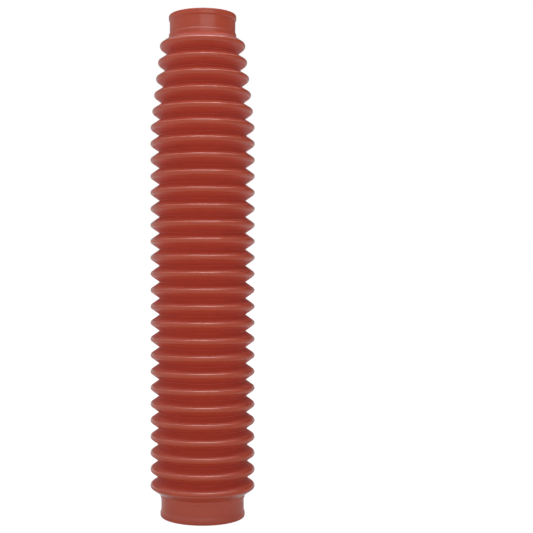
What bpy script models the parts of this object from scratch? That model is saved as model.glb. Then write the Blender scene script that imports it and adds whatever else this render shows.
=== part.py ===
"""A fork gaiter: the bellows boot that covers a motorcycle fork from its lower leg to its upper tube.

One hollow piece of moulded rubber, turned about +Z and standing on its wide collar. The wide
collar grips the lower leg, the narrow one grips the tube above it, and the folds between them
open and close as the fork moves. The origin is the centre of the lower rim.
"""

from math import acos, asin, atan2, cos, hypot, pi, radians, sin, tan

import bmesh
import bpy
from mathutils import Vector

# Folds
FOLD_COUNT = 28
FOLD_PITCH = 0.0127
CREST_DIAMETER = 0.0817
FOLD_DEPTH = 0.0070
CREST_ROUND = 0.00245
VALLEY_ROUND = 0.0004
FOLD_WALL = 0.0018

# The uppermost crests grow downwards from the narrow end until they reach the full diameter
TAPER_CREST_DIAMETER = 0.0667
TAPER_CRESTS = 5
TAPER_BULGE = 0.00012

# The uppermost crest is blunter than the rest and stands a little above its even place
TOP_CREST_ROUND = 0.0028
TOP_CREST_LIFT = 0.0002

# Wide collar at the lower end, for the fork's lower leg
LOWER_BORE = 0.0600
LOWER_WALL = 0.0023
LOWER_COLLAR_HEIGHT = 0.0150
LOWER_BEAD_WIDTH = 0.0026
LOWER_BEAD_RISE = 0.0007
LOWER_BEAD_RAMP = 0.0018
LOWER_LIP_HEIGHT = 0.00475
LOWER_LIP_RAMP = 0.0025
LOWER_LIP_RISE = 0.0007

# Narrow collar at the upper end, for the fork's tube
UPPER_BORE = 0.0470
UPPER_WALL = 0.0022
UPPER_COLLAR_HEIGHT = 0.0148
UPPER_BEAD_WIDTH = 0.0032
UPPER_BEAD_RISE = 0.0007
UPPER_BEAD_RAMP = 0.0006
UPPER_LIP_HEIGHT = 0.00435
UPPER_LIP_RAMP = 0.0007
UPPER_LIP_RISE = 0.00075

# Edges that both collars share
RIM_ROUND = 0.0015
BORE_EDGE_ROUND = 0.0004

# How finely the turned skin is divided
SEGMENTS = 28
ROUND_POINTS = 3

RUBBER_RED = (0.376, 0.068, 0.046)
RUBBER_ROUGHNESS = 0.5


def clear_scene():
    for thing in list(bpy.data.objects):
        bpy.data.objects.remove(thing, do_unlink=True)


def flank_tilt():
    """Angle between a flank's normal and the radial direction.

    The flank is the straight line that touches the crest's circle on one side and the
    valley's circle on the other, half a pitch away.
    """
    half_pitch = FOLD_PITCH / 2
    centres_apart = FOLD_DEPTH - CREST_ROUND - VALLEY_ROUND
    line = hypot(half_pitch, centres_apart)
    reach = min((CREST_ROUND + VALLEY_ROUND) / line, 1.0)
    return atan2(centres_apart, half_pitch) + asin(reach)


def crest_radius(index):
    """Radius over the crest with this index, counted from the narrow end."""
    full = CREST_DIAMETER / 2
    if index >= TAPER_CRESTS:
        return full
    share = index / TAPER_CRESTS
    bulge = TAPER_BULGE * 4 * share * (1 - share)
    return TAPER_CREST_DIAMETER / 2 * (1 - share) + full * share + bulge


def rounded(corners):
    """The outline through these corners, each (radius, height, rounding, points of its arc).

    An arc touches both sides of its corner. With one point it is the arc's middle, and a
    rounding is limited to what its shorter side holds.
    """
    outline = []
    for index, (radius, height, rounding, points) in enumerate(corners):
        corner = Vector((radius, height))
        before = Vector(corners[index - 1][:2]) - corner
        after = Vector(corners[(index + 1) % len(corners)][:2]) - corner
        opening = acos(max(-1.0, min(1.0, before.normalized().dot(after.normalized()))))
        if rounding == 0 or opening > radians(179):
            outline.append(corner)
            continue
        longest = 0.49 * min(before.length, after.length) * tan(opening / 2)
        rounding = min(rounding, longest)
        inwards = (before.normalized() + after.normalized()).normalized()
        centre = corner + inwards * rounding / sin(opening / 2)
        turned = pi - opening
        way = -1 if before.cross(after) > 0 else 1
        for point in range(points):
            share = point / (points - 1) - 0.5 if points > 1 else 0
            angle = way * turned * share
            spoke = -inwards * rounding
            outline.append(
                centre
                + Vector(
                    (
                        spoke.x * cos(angle) - spoke.y * sin(angle),
                        spoke.x * sin(angle) + spoke.y * cos(angle),
                    )
                )
            )
    return outline


def collar_corners(
    bore, wall, height, bead_width, bead_rise, bead_ramp, lip_height, lip_ramp, lip_rise,
):
    """A collar's outer corners as (radius, distance from its rim), from the rim to the flank."""
    neck = bore / 2 + wall
    return [
        (neck + lip_rise, 0, RIM_ROUND, ROUND_POINTS),
        (neck + lip_rise, lip_height - lip_ramp / 2, 0, 1),
        (neck, lip_height + lip_ramp / 2, 0, 1),
        (neck, height - bead_ramp / 2, 0, 1),
        (neck + bead_rise, height + bead_ramp / 2, 0, 1),
        (neck + bead_rise, height + bead_width, 0, 1),
    ]


def bore_corners(bore, flank_distance):
    """A collar's inner corners as (radius, distance from its rim), from the flank to the rim."""
    return [
        (bore / 2, flank_distance, 0, 1),
        (bore / 2, 0, BORE_EDGE_ROUND, 2),
    ]


def gaiter_corners():
    """The closed outline of the wall: down the outer skin, then up the inner one."""
    tilt = flank_tilt()
    slope = sin(tilt) / cos(tilt)
    tip = 1 / cos(tilt) - 1
    skin_step = FOLD_WALL / cos(tilt)
    noses = [crest_radius(index) for index in range(FOLD_COUNT)]
    rounds = [TOP_CREST_ROUND] + [CREST_ROUND] * (FOLD_COUNT - 1)
    crests = [nose + rounding * tip for nose, rounding in zip(noses, rounds)]

    lower = collar_corners(
        LOWER_BORE, LOWER_WALL, LOWER_COLLAR_HEIGHT, LOWER_BEAD_WIDTH, LOWER_BEAD_RISE,
        LOWER_BEAD_RAMP, LOWER_LIP_HEIGHT, LOWER_LIP_RAMP, LOWER_LIP_RISE,
    )
    upper = collar_corners(
        UPPER_BORE, UPPER_WALL, UPPER_COLLAR_HEIGHT, UPPER_BEAD_WIDTH, UPPER_BEAD_RISE,
        UPPER_BEAD_RAMP, UPPER_LIP_HEIGHT, UPPER_LIP_RAMP, UPPER_LIP_RISE,
    )
    lowest_crest = lower[-1][1] + (crests[-1] - lower[-1][0]) / slope
    heights = [lowest_crest + FOLD_PITCH * (FOLD_COUNT - 1 - index) for index in range(FOLD_COUNT)]
    heights[0] += TOP_CREST_LIFT
    length = heights[0] + (crests[0] - upper[-1][0]) / slope + upper[-1][1]

    outer_skin = []
    inner_skin = []
    for index, (crest, height, rounding) in enumerate(zip(crests, heights, rounds)):
        if index > 0:
            valley = (noses[index - 1] + noses[index]) / 2 - FOLD_DEPTH - VALLEY_ROUND * tip
            valley_height = height + FOLD_PITCH / 2
            outer_skin.append((valley, valley_height, VALLEY_ROUND, 1))
            inner_skin.append((valley - skin_step, valley_height, VALLEY_ROUND + FOLD_WALL, 1))
        outer_skin.append((crest, height, rounding, ROUND_POINTS))
        inner_skin.append((crest - skin_step, height, max(rounding - FOLD_WALL, 0), 1))

    lower_flank = lowest_crest - (crests[-1] - skin_step - LOWER_BORE / 2) / slope
    upper_flank = length - heights[0] - (crests[0] - skin_step - UPPER_BORE / 2) / slope
    upper_rim = [(r, length - z, rounding, points) for r, z, rounding, points in upper]
    upper_bore = [
        (r, length - z, rounding, points)
        for r, z, rounding, points in bore_corners(UPPER_BORE, upper_flank)
    ]
    lower_bore = bore_corners(LOWER_BORE, lower_flank)
    return upper_rim + outer_skin + lower[::-1] + lower_bore[::-1] + inner_skin[::-1] + upper_bore


def rubber():
    material = bpy.data.materials.new("red_rubber")
    material.use_nodes = True
    shader = material.node_tree.nodes["Principled BSDF"]
    shader.inputs["Base Color"].default_value = (*RUBBER_RED, 1.0)
    shader.inputs["Roughness"].default_value = RUBBER_ROUGHNESS
    shader.inputs["Metallic"].default_value = 0.0
    material.diffuse_color = (*RUBBER_RED, 1.0)
    return material


def build_gaiter():
    outline = rounded(gaiter_corners())
    shape = bmesh.new()
    points = [shape.verts.new((point.x, 0, point.y)) for point in outline]
    edges = [shape.edges.new((points[i - 1], points[i])) for i in range(len(points))]
    bmesh.ops.spin(
        shape,
        geom=points + edges,
        cent=(0, 0, 0),
        axis=(0, 0, 1),
        angle=2 * pi,
        steps=SEGMENTS,
        use_merge=True,
    )
    mesh = bpy.data.meshes.new("gaiter")
    shape.to_mesh(mesh)
    shape.free()
    mesh.materials.append(rubber())
    mesh.shade_smooth()
    mesh.set_sharp_from_angle(angle=radians(60))
    gaiter = bpy.data.objects.new("gaiter", mesh)
    bpy.context.scene.collection.objects.link(gaiter)


clear_scene()
build_gaiter()
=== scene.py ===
"""A motorcycle fork gaiter in red rubber, standing on its wide collar on a pale floor."""

import bpy
import numpy as np
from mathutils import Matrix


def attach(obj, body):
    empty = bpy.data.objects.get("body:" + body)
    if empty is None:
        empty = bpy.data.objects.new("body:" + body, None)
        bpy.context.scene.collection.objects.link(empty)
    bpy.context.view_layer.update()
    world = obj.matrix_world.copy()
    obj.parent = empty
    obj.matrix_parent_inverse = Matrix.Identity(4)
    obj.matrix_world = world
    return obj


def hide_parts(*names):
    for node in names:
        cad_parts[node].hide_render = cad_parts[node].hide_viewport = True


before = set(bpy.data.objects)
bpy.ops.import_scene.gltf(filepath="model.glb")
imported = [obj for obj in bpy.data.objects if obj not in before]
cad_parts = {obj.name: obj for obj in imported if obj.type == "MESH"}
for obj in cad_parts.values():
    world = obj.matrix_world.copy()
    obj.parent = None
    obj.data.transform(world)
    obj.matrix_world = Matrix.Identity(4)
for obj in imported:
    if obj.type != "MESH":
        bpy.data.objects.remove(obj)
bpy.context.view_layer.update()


# The gaiter itself. It is one hollow moulding in soft red rubber, turned about the bore: a wide
# collar that grips the fork's lower leg, a long run of folds, and a narrow collar for the tube.
# The mould leaves every edge a little round, and the wall follows the folds inside.
PITCH = 0.0127
CREST_COUNT = 28
CREST_RADIUS = 0.04085
TOP_CREST_RADIUS = 0.03335
GROWING_CRESTS = 5
GROWTH_BULGE = 0.00012
FOLD_DEPTH = 0.0070
CREST_ROUND = 0.00245
TOP_CREST_ROUND = 0.0028
TOP_CREST_LIFT = 0.0002
VALLEY_ROUND = 0.0004
WALL = 0.0018
SMALL_ROUND = 0.0003
RIM_ROUND = 0.0015
BORE_EDGE_ROUND = 0.0004

# Each collar, from its rim towards the folds: radii first, then distances from the rim
LOWER = dict(
    bore=0.0300, neck=0.0323, lip=0.0330, bead=0.0330, bead_round=0.0006,
    lip_end=0.0035, neck_start=0.0060, neck_end=0.0141, bead_start=0.0159, bead_end=0.0176,
)
UPPER = dict(
    bore=0.0235, neck=0.0257, lip=0.02645, bead=0.0264, bead_round=0.0010,
    lip_end=0.0040, neck_start=0.0047, neck_end=0.0145, bead_start=0.0151, bead_end=0.0180,
)

# How finely the section's corners and its turn are divided, and how much of a side an arc takes
POINTS_PER_ROUND = 8
SEGMENTS = 88
MOST_OF_SIDE = 0.49


def collar_outline(collar, rim_height, up):
    """Corners (radius, height, rounding) of a collar's outside, from its rim to its bead.

    Heights are the rim's height plus each distance, or minus it at the upper end.
    """
    way = 1 if up else -1
    return np.array([
        (collar["lip"], rim_height, RIM_ROUND),
        (collar["lip"], rim_height + way * collar["lip_end"], SMALL_ROUND),
        (collar["neck"], rim_height + way * collar["neck_start"], SMALL_ROUND),
        (collar["neck"], rim_height + way * collar["neck_end"], SMALL_ROUND),
        (collar["bead"], rim_height + way * collar["bead_start"], collar["bead_round"]),
        (collar["bead"], rim_height + way * collar["bead_end"], SMALL_ROUND),
    ])


def gaiter_corners():
    """Corners (radius, height, rounding) of the wall's section, as one closed outline.

    A flank touches the crest's circle outside and the valley's circle inside, half a pitch away,
    which gives its tilt. Crests and valleys are the corners where flanks would meet. The lining
    is the same outline, moved in by the wall's thickness over the cosine of the tilt.
    """
    apart = FOLD_DEPTH - CREST_ROUND - VALLEY_ROUND
    centre_line = np.hypot(apart, PITCH / 2)
    tilt = np.arctan2(apart, PITCH / 2) + np.arcsin((CREST_ROUND + VALLEY_ROUND) / centre_line)
    slope = np.tan(tilt)
    tip = 1 / np.cos(tilt) - 1
    skin_step = WALL / np.cos(tilt)

    share = np.clip(np.arange(CREST_COUNT) / GROWING_CRESTS, 0, 1)
    noses = TOP_CREST_RADIUS + (CREST_RADIUS - TOP_CREST_RADIUS) * share
    noses = noses + GROWTH_BULGE * 4 * share * (1 - share)
    rounds = np.full(CREST_COUNT, CREST_ROUND)
    rounds[0] = TOP_CREST_ROUND
    crests = noses + rounds * tip
    valleys = (noses[:-1] + noses[1:]) / 2 - FOLD_DEPTH - VALLEY_ROUND * tip
    lowest = LOWER["bead_end"] + (crests[-1] - LOWER["bead"]) / slope
    heights = lowest + PITCH * np.arange(CREST_COUNT)[::-1]
    heights[0] += TOP_CREST_LIFT
    valley_heights = heights[1:] + PITCH / 2
    length = heights[0] + (crests[0] - UPPER["bead"]) / slope + UPPER["bead_end"]

    folds = np.empty((2 * CREST_COUNT - 1, 3))
    folds[0::2] = np.stack([crests, heights, rounds], axis=1)
    folds[1::2, :2] = np.stack([valleys, valley_heights], axis=1)
    folds[1::2, 2] = VALLEY_ROUND
    lining = folds - [skin_step, 0, 0]
    lining[0::2, 2] = rounds - WALL
    lining[1::2, 2] = VALLEY_ROUND + WALL

    upper_turn = heights[0] + (crests[0] - skin_step - UPPER["bore"]) / slope
    lower_turn = lowest - (crests[-1] - skin_step - LOWER["bore"]) / slope
    bores = np.array([
        (LOWER["bore"], 0, BORE_EDGE_ROUND),
        (LOWER["bore"], lower_turn, WALL),
        (UPPER["bore"], upper_turn, WALL),
        (UPPER["bore"], length, BORE_EDGE_ROUND),
    ])
    outside = [collar_outline(UPPER, length, False), folds, collar_outline(LOWER, 0, True)[::-1]]
    return np.concatenate(outside + [bores[:2], lining[::-1], bores[2:]])


def round_corners(corners, points):
    """Each corner becomes an arc that touches both its sides, its points turning evenly.

    The arc's centre lies on the corner's bisector, and its reach along a side is the rounding
    over the tangent of half the opening, held under half of the shorter side.
    """
    place = corners[:, :2]
    before = np.roll(place, 1, axis=0) - place
    after = np.roll(place, -1, axis=0) - place
    shorter = np.minimum(np.linalg.norm(before, axis=1), np.linalg.norm(after, axis=1))
    before = before / np.linalg.norm(before, axis=1, keepdims=True)
    after = after / np.linalg.norm(after, axis=1, keepdims=True)
    half = np.arccos(np.clip((before * after).sum(axis=1), -1, 1)) / 2
    reach = np.minimum(corners[:, 2] / np.tan(half), MOST_OF_SIDE * shorter)
    radius = reach * np.tan(half)
    bisector = (before + after) / np.linalg.norm(before + after, axis=1, keepdims=True)
    centre = place + bisector * (radius / np.sin(half))[:, None]
    start = place + before * reach[:, None] - centre
    end = place + after * reach[:, None] - centre
    turn = (np.pi - 2 * half)[:, None]
    step = np.linspace(0, 1, points)[None, :]
    start_share = (np.sin((1 - step) * turn) / np.sin(turn))[:, :, None]
    end_share = (np.sin(step * turn) / np.sin(turn))[:, :, None]
    arcs = centre[:, None] + start_share * start[:, None] + end_share * end[:, None]
    return arcs.reshape(-1, 2)


def turned_mesh(name, outline, shares, segments):
    """The closed outline carried round the Z axis: x = r cos a, y = r sin a, z = height.

    Each named share of the outline's points is kept as an attribute of that name.
    """
    angle = np.arange(segments) * 2 * np.pi / segments
    radius, height = outline[:, 0], outline[:, 1]
    grid = np.stack([
        np.outer(np.cos(angle), radius),
        np.outer(np.sin(angle), radius),
        np.broadcast_to(height, (segments, len(height))),
    ], axis=-1)
    count = len(outline)
    index = np.arange(segments * count).reshape(segments, count)
    along = np.roll(index, -1, axis=1)
    next_round = np.roll(index, -1, axis=0)
    next_along = np.roll(along, -1, axis=0)
    quads = np.stack([index, along, next_along, next_round], axis=-1)
    mesh = bpy.data.meshes.new(name)
    mesh.from_pydata(grid.reshape(-1, 3), [], quads.reshape(-1, 4))
    mesh.shade_smooth()
    for title, values in shares.items():
        share = mesh.attributes.new(title, "FLOAT", "POINT")
        share.data.foreach_set("value", np.tile(values, segments).astype(np.float32))
    mesh.update()
    return mesh


# Places in the outline of corners, which starts at the upper collar's rim
COLLAR_CORNERS = 6
UPPER_NECK_END, UPPER_BEAD_START, UPPER_BEAD_END = range(3, COLLAR_CORNERS)
TOP_CREST = COLLAR_CORNERS
LAST_CREST = TOP_CREST + 2 * (CREST_COUNT - 1)
LOWER_BEAD_END = LAST_CREST + 1
LOWER_RIM = LAST_CREST + COLLAR_CORNERS

# A point's polish starts to show at the first level and is whole at the second
POLISH_STARTS = 0.60
POLISH_WHOLE = 0.98

# Down a crest's arc, which is a step from nought to one, polish climbs and then falls. Under the
# last crest it climbs again.
POLISH_CLIMB = 2.8
FALL_START = 1.85
POLISH_FALL = 3.5
UNDERSIDE_START = -0.9
UNDERSIDE_CLIMB = 2.4

# The beads' polish, and how far round its first corner the upper bead keeps it
UPPER_BEAD_POLISH = 0.88
UPPER_BEAD_REACH = 0.8
LOWER_BEAD_POLISH = 0.85


def outward_share(corners, points):
    """One on the crests and collars, which face outwards, and nought in the valleys and inside.

    It turns to nought halfway round the upper bead's last corner, so that the first flank is
    like the others, whose shares run evenly from a valley's nought to a crest's one.
    """
    share = np.zeros((len(corners), points))
    share[:TOP_CREST] = 1
    share[UPPER_BEAD_END, points // 2:] = 0
    share[TOP_CREST:LAST_CREST + 1:2] = 1
    share[LOWER_BEAD_END:LOWER_RIM + 1] = 1
    return share.ravel()


def polished_share(corners, points):
    """One where hands and rags rub, and under the level at which polish starts elsewhere.

    With a step of nought to one down each crest's arc, the share is the lesser of a steep climb
    and a steeper fall, so a narrow band of the upper shoulder shines. The top crest has no climb,
    the last one shines underneath too, and so do both beads at the edges that stand out.
    """
    share = np.zeros((len(corners), points))
    step = np.linspace(0, 1, points)
    climb = POLISH_STARTS + POLISH_CLIMB * step
    fall = FALL_START - POLISH_FALL * step
    underneath = UNDERSIDE_START + UNDERSIDE_CLIMB * step
    share[TOP_CREST:LAST_CREST + 1:2] = np.clip(np.minimum(climb, fall), 0, 1)
    share[TOP_CREST] = np.clip(fall, 0, 1)
    share[LAST_CREST] = np.maximum(share[LAST_CREST], np.clip(underneath, 0, 1))
    share[UPPER_NECK_END] = np.where(step < 0.5, 0.0, 1.0)
    share[UPPER_BEAD_START] = np.where(
        step < UPPER_BEAD_REACH, UPPER_BEAD_POLISH, POLISH_STARTS,
    )
    share[UPPER_BEAD_END] = POLISH_STARTS
    share[LOWER_BEAD_END] = np.where(step < 0.5, LOWER_BEAD_POLISH, 0.0)
    return share.ravel()


section = gaiter_corners()
gaiter_mesh = turned_mesh(
    "fork_gaiter",
    round_corners(section, POINTS_PER_ROUND),
    {
        "outward": outward_share(section, POINTS_PER_ROUND),
        "polished": polished_share(section, POINTS_PER_ROUND),
    },
    SEGMENTS,
)
gaiter = bpy.data.objects.new("fork_gaiter", gaiter_mesh)
bpy.context.scene.collection.objects.link(gaiter)

# The folds' red is painted brighter than the crests', a painted light that lifts the shade deep
# in the folds. The crests' red is painted with less blue, a painted shade that takes back some of
# the pale sheen they catch.
FOLD_RED = (0.58, 0.066, 0.035)
FOLD_DEEP_RED = (0.52, 0.058, 0.030)
CREST_RED = (0.54, 0.060, 0.018)
CREST_DEEP_RED = (0.49, 0.053, 0.014)
# The pale pink mixed into the lower collar up to its bead is painted light that brightens it.
PAINTED_LIGHT_PINK = (1.0, 0.33, 0.28)
LOWER_COLLAR_PAINTED_LIGHT = 0.10

# Where each passage from one look to the next starts and ends
CREST_EDGE = (0.88, 0.95)
POLISH_EDGE = (POLISH_STARTS, POLISH_WHOLE)
PAINTED_LIGHT_EDGE = (0.0172, 0.0182)

CLOUD_SCALE = 45.0
GRAIN_SCALE = 2600.0
RIPPLE_SCALE = 160.0
SURFACE_DEPTH = 0.000012

FOLD_ROUGHNESS = 0.46
CREST_SMOOTHNESS = 0.28
CLOUD_ROUGHNESS = 0.05
GRAIN_ROUGHNESS = 0.04


class Socket:
    """A node's output, with the operators of plain arithmetic adding Math nodes behind it."""

    def __init__(self, tree, output):
        self.tree = tree
        self.output = output

    def math(self, operation, *others, swapped=False):
        """A Math node on this value and the others, which come first where they are swapped."""
        terms = (*others, self) if swapped else (self, *others)
        inputs = dict(enumerate(terms))
        return add_node(self.tree, "ShaderNodeMath", {"operation": operation}, inputs)

    def __add__(self, other):
        return self.math("ADD", other)

    def __radd__(self, other):
        return self.math("ADD", other, swapped=True)

    def __sub__(self, other):
        return self.math("SUBTRACT", other)

    def __rsub__(self, other):
        return self.math("SUBTRACT", other, swapped=True)

    def __mul__(self, other):
        return self.math("MULTIPLY", other)

    def __rmul__(self, other):
        return self.math("MULTIPLY", other, swapped=True)

    def __truediv__(self, other):
        return self.math("DIVIDE", other)

    def __rtruediv__(self, other):
        return self.math("DIVIDE", other, swapped=True)

    def __abs__(self):
        return self.math("ABSOLUTE")


def add_node(tree, kind, settings=None, inputs=None, output=0):
    """A node of this type with its settings made, then its sockets set or linked."""
    node = tree.nodes.new(kind)
    for name, value in (settings or {}).items():
        setattr(node, name, value)
    for name, value in (inputs or {}).items():
        if isinstance(value, Socket):
            tree.links.new(value.output, node.inputs[name])
        else:
            node.inputs[name].default_value = value
    return Socket(tree, node.outputs[output])


def component(vector, axis):
    """One component of a vector."""
    return add_node(vector.tree, "ShaderNodeSeparateXYZ", inputs={"Vector": vector}, output=axis)


def eased(value, edge, first, last):
    """The first level up to the edge's start, the last past its end, a smooth passage between."""
    inputs = {
        "Value": value, "From Min": edge[0], "From Max": edge[1], "To Min": first, "To Max": last,
    }
    smooth = {"interpolation_type": "SMOOTHSTEP"}
    return add_node(value.tree, "ShaderNodeMapRange", smooth, inputs)


def mixed_colour(factor, first, second):
    """The first colour turning into the second as the factor goes from nought to one."""
    first, second = [c if isinstance(c, Socket) else (*c, 1.0) for c in (first, second)]
    inputs = {"Factor": factor, 6: first, 7: second}
    return add_node(factor.tree, "ShaderNodeMix", {"data_type": "RGBA"}, inputs, output=2)


def speckle(place, scale, detail):
    """Even noise of this scale over the surface, from nought to one."""
    inputs = {"Vector": place, "Scale": scale, "Detail": detail}
    return add_node(place.tree, "ShaderNodeTexNoise", inputs=inputs)


def share_of(tree, title):
    """The mesh's attribute of this name."""
    return add_node(tree, "ShaderNodeAttribute", {"attribute_name": title}, output="Fac")


def moulded_rubber():
    """Satin red rubber: faint clouds in the colour, a fine matt grain and slight mould ripple.

    Crests and collars are smoother, and the rubbed shoulders have a thin gloss over them. The
    lower collar is painted a faint pale pink up to its bead, painted light that brightens it.
    """
    material = bpy.data.materials.new("red_rubber")
    material.use_nodes = True
    tree = material.node_tree
    shader = tree.nodes["Principled BSDF"]
    shader.inputs["Specular IOR Level"].default_value = 0.65
    shader.inputs["Coat IOR"].default_value = 1.7
    shader.inputs["Coat Roughness"].default_value = 0.20

    place = add_node(tree, "ShaderNodeTexCoord", output="Object")
    clouds = speckle(place, CLOUD_SCALE, 3.0)
    grain = speckle(place, GRAIN_SCALE, 2.0)
    ripple = speckle(place, RIPPLE_SCALE, 2.0)
    crest = eased(share_of(tree, "outward"), CREST_EDGE, 0.0, 1.0)
    # Painted light: the lower collar is lightened towards pale pink up to its bead.
    lower_collar_light = eased(component(place, "Z"), PAINTED_LIGHT_EDGE, LOWER_COLLAR_PAINTED_LIGHT, 0.0)

    # Painted light and shade: the folds get a brighter red and the crests a less blue one.
    fold_colour = mixed_colour(clouds, FOLD_DEEP_RED, FOLD_RED)
    crest_colour = mixed_colour(clouds, CREST_DEEP_RED, CREST_RED)
    colour = mixed_colour(lower_collar_light, mixed_colour(crest, fold_colour, crest_colour), PAINTED_LIGHT_PINK)
    roughness = FOLD_ROUGHNESS - CREST_SMOOTHNESS * crest
    roughness = roughness + CLOUD_ROUGHNESS * clouds + GRAIN_ROUGHNESS * grain
    polish = eased(share_of(tree, "polished"), POLISH_EDGE, 0.0, 1.0)
    height = SURFACE_DEPTH * grain + SURFACE_DEPTH * ripple
    relief = {"Strength": 1.0, "Distance": 1.0, "Height": height}
    bump = add_node(tree, "ShaderNodeBump", inputs=relief)

    tree.links.new(colour.output, shader.inputs["Base Color"])
    tree.links.new(roughness.output, shader.inputs["Roughness"])
    tree.links.new(polish.output, shader.inputs["Coat Weight"])
    tree.links.new(bump.output, shader.inputs["Normal"])
    return material


gaiter.data.materials.append(moulded_rubber())
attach(gaiter, "root")
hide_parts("gaiter")


# The floor is one broad pale sheet, wide enough to meet the bright surround behind the gaiter. It
# throws light up evenly from a distance, is dimmer in the gaiter's own shade, and a little
# brighter again right at its foot, most of all behind it on the left.
FLOOR_HALF = 60.0
FLOOR_GREY = (0.30, 0.30, 0.30, 1.0)
FLOOR_ROUGHNESS = 0.9
FLOOR_LIGHT = 0.42
FLOOR_SEEN_LIGHT = 0.90
FOOT_LIGHT = 0.09
BEHIND_LIGHT = 0.15

# Where the floor's passages of light start and end: distances from the foot, then Y, then X
SHADE_EDGE = (-0.14, 0.32)
FOOT_EDGE = (0.05, 0.12)
BEHIND_EDGE = (-0.01, 0.04)
LEFT_EDGE = (0.015, 0.05)


def floor_white():
    """White paper whose glow depends on the distance from the gaiter's foot and on the side."""
    material = bpy.data.materials.new("floor_white")
    material.use_nodes = True
    tree = material.node_tree
    shader = tree.nodes["Principled BSDF"]
    shader.inputs["Base Color"].default_value = FLOOR_GREY
    shader.inputs["Roughness"].default_value = FLOOR_ROUGHNESS
    shader.inputs["Emission Strength"].default_value = 1.0

    place = add_node(tree, "ShaderNodeTexCoord", output="Object")
    from_foot = add_node(
        tree, "ShaderNodeVectorMath", {"operation": "LENGTH"}, {0: place}, output="Value",
    )
    out_of_shade = eased(from_foot, SHADE_EDGE, 0.0, 1.0)
    near_foot = eased(from_foot, FOOT_EDGE, 1.0, 0.0)
    behind = eased(component(place, "Y"), BEHIND_EDGE, 0.0, 1.0)
    left = eased(component(place, "X"), LEFT_EDGE, 1.0, 0.0)
    foot_glow = near_foot * (FOOT_LIGHT + BEHIND_LIGHT * behind * left)
    seen = add_node(tree, "ShaderNodeLightPath", output="Is Camera Ray")
    thrown = FLOOR_LIGHT * out_of_shade + foot_glow
    glow = thrown * (1 - seen) + FLOOR_SEEN_LIGHT * seen
    tree.links.new(glow.output, shader.inputs["Emission Color"])
    return material


floor_mesh = bpy.data.meshes.new("floor")
floor_corners = np.array([(-1, -1, 0), (1, -1, 0), (1, 1, 0), (-1, 1, 0)]) * FLOOR_HALF
floor_mesh.from_pydata(floor_corners, [], [(0, 1, 2, 3)])
floor_mesh.materials.append(floor_white())
floor = bpy.data.objects.new("floor", floor_mesh)
bpy.context.scene.collection.objects.link(floor)


# The surround is a white tent round the gaiter: brightest level with it, dimmer overhead, and a
# little brighter on the left. An arch of lamps over it draws the thin bright line on each crest,
# and a strip and a patch of light behind the arch reach the uppermost fold alone.
TENT_LIGHT = 0.72
TOP_LIGHT = 0.20
TOP_LEAN = 0.5
TOP_EDGE = (0.35, 0.90)
LEFT_GAIN = 0.14
SIDE_LOSS = 0.22
BACK_LOSS = 0.04
RIGHT_BEHIND_LOSS = 0.12

ARCH_LIGHT = 5.4
ARCH_NEAR_EDGE = (0.344, 0.369)
ARCH_FAR_EDGE = (0.405, 0.430)
ARCH_FOOT_EDGE = (0.45, 1.00)
ARCH_MIDDLE = 0.13
ARCH_MIDDLE_EDGE = (0.15, 0.50)
ARCH_MIDDLE_GAIN = 1.40
ARCH_SIDE_GAIN = 0.66

STRIP_SHARE = 0.72
STRIP_PLACE = 0.585
STRIP_EDGE = (0.012, 0.040)

PATCH_LIGHT = 0.22
PATCH_SIDE_EDGE = (0.12, 0.28)
PATCH_LOW_EDGE = (0.24, 0.36)
PATCH_HIGH_EDGE = (0.62, 0.80)

world = bpy.data.worlds.new("surround")
bpy.context.scene.world = world
world.use_nodes = True
surround = world.node_tree
backdrop = surround.nodes["Background"]
backdrop.inputs["Color"].default_value = (1.0, 1.0, 1.0, 1.0)

direction = add_node(surround, "ShaderNodeTexCoord", output="Generated")
across = component(direction, "X")
inwards = component(direction, "Y")
upwards = component(direction, "Z")
to_right = across.math("MAXIMUM", 0.0)
to_back = inwards.math("MAXIMUM", 0.0)

tent = eased(upwards + TOP_LEAN * to_back, TOP_EDGE, TENT_LIGHT, TOP_LIGHT)
lost = LEFT_GAIN * across + SIDE_LOSS * across * across + BACK_LOSS * inwards
lost = lost + RIGHT_BEHIND_LOSS * to_right * to_back

# A direction's place over the gaiter is the squared height of the vector halfway between it and
# straight forwards. Light from one place is thrown forwards by faces of one tilt, so a band of
# one place draws a line of even width all along a crest.
place_over = upwards * upwards / (2 - 2 * inwards)
near_side = eased(place_over, ARCH_NEAR_EDGE, 0.0, 1.0)
far_side = eased(place_over, ARCH_FAR_EDGE, 1.0, 0.0)
strip = eased(abs(place_over - STRIP_PLACE), STRIP_EDGE, 1.0, 0.0)
above_feet = eased(upwards, ARCH_FOOT_EDGE, 0.0, 1.0)
from_middle = abs(across - ARCH_MIDDLE)
along = eased(from_middle, ARCH_MIDDLE_EDGE, ARCH_MIDDLE_GAIN, ARCH_SIDE_GAIN)
arch = (near_side * far_side + STRIP_SHARE * strip) * above_feet * along

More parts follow.
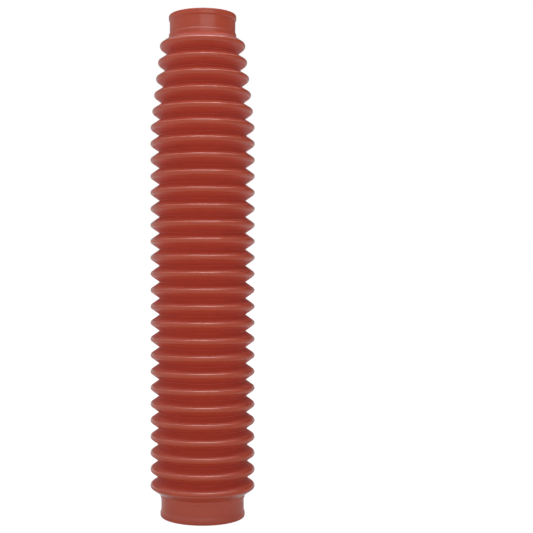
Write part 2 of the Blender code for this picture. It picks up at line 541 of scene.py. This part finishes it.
between_sides = eased(abs(across) / inwards, PATCH_SIDE_EDGE, 1.0, 0.0)
above_low = eased(upwards, PATCH_LOW_EDGE, 0.0, 1.0)
below_high = eased(upwards, PATCH_HIGH_EDGE, 1.0, 0.0)
behind = inwards.math("GREATER_THAN", 0.0)
patch = PATCH_LIGHT * between_sides * above_low * below_high * behind

seen = add_node(surround, "ShaderNodeLightPath", output="Is Camera Ray")
brightness = (tent - lost + patch + ARCH_LIGHT * arch) * (1 - seen) + seen
surround.links.new(brightness.output, backdrop.inputs["Strength"])


# Two soft boxes stand before the gaiter. The one overhead fills the upper side of each fold, and
# the one beside the camera gives the collars their upright sheen.
LAMP_POWER = 1.1


def soft_box(name, place, target, width, height):
    """A rectangular lamp at a place, turned so that it shines towards the target."""
    light = bpy.data.lights.new(name, "AREA")
    light.shape = "RECTANGLE"
    light.size = width
    light.size_y = height
    light.energy = LAMP_POWER
    lamp = bpy.data.objects.new(name, light)
    lamp.location = place
    aim = np.array(target) - np.array(place)
    lamp.rotation_euler = [
        np.arccos(-aim[2] / np.linalg.norm(aim)),
        0.0,
        np.arctan2(aim[1], aim[0]) - np.pi / 2,
    ]
    bpy.context.scene.collection.objects.link(lamp)


soft_box("overhead", place=(0.0, -0.25, 1.40), target=(0.0, 0.0, 0.2), width=1.00, height=0.10)
soft_box(
    "beside_camera", place=(0.40, -1.25, 0.70), target=(0.0, 0.0, 0.3), width=1.20, height=0.30,
)


# The camera stands level with the gaiter's middle, straight in front of it. It is shifted
# sideways until the gaiter stands left of the picture's middle.
CAMERA_DISTANCE = 0.800
CAMERA_HEIGHT = 0.1952
PIXEL_WIDTH = 0.0007838
IMAGE_SIDE = 533
AXIS_FROM_LEFT = 202.56
camera_data = bpy.data.cameras.new("camera")
camera_data.sensor_width = 36.0
camera_data.lens = camera_data.sensor_width * CAMERA_DISTANCE / (PIXEL_WIDTH * IMAGE_SIDE)
camera_data.shift_x = (IMAGE_SIDE / 2 - AXIS_FROM_LEFT) / IMAGE_SIDE
camera = bpy.data.objects.new("camera", camera_data)
camera.location = (0.0, -CAMERA_DISTANCE, CAMERA_HEIGHT)
camera.rotation_euler = (np.pi / 2, 0.0, 0.0)
bpy.context.scene.collection.objects.link(camera)
bpy.context.scene.camera = camera
bpy.context.scene.view_settings.view_transform = "Standard"
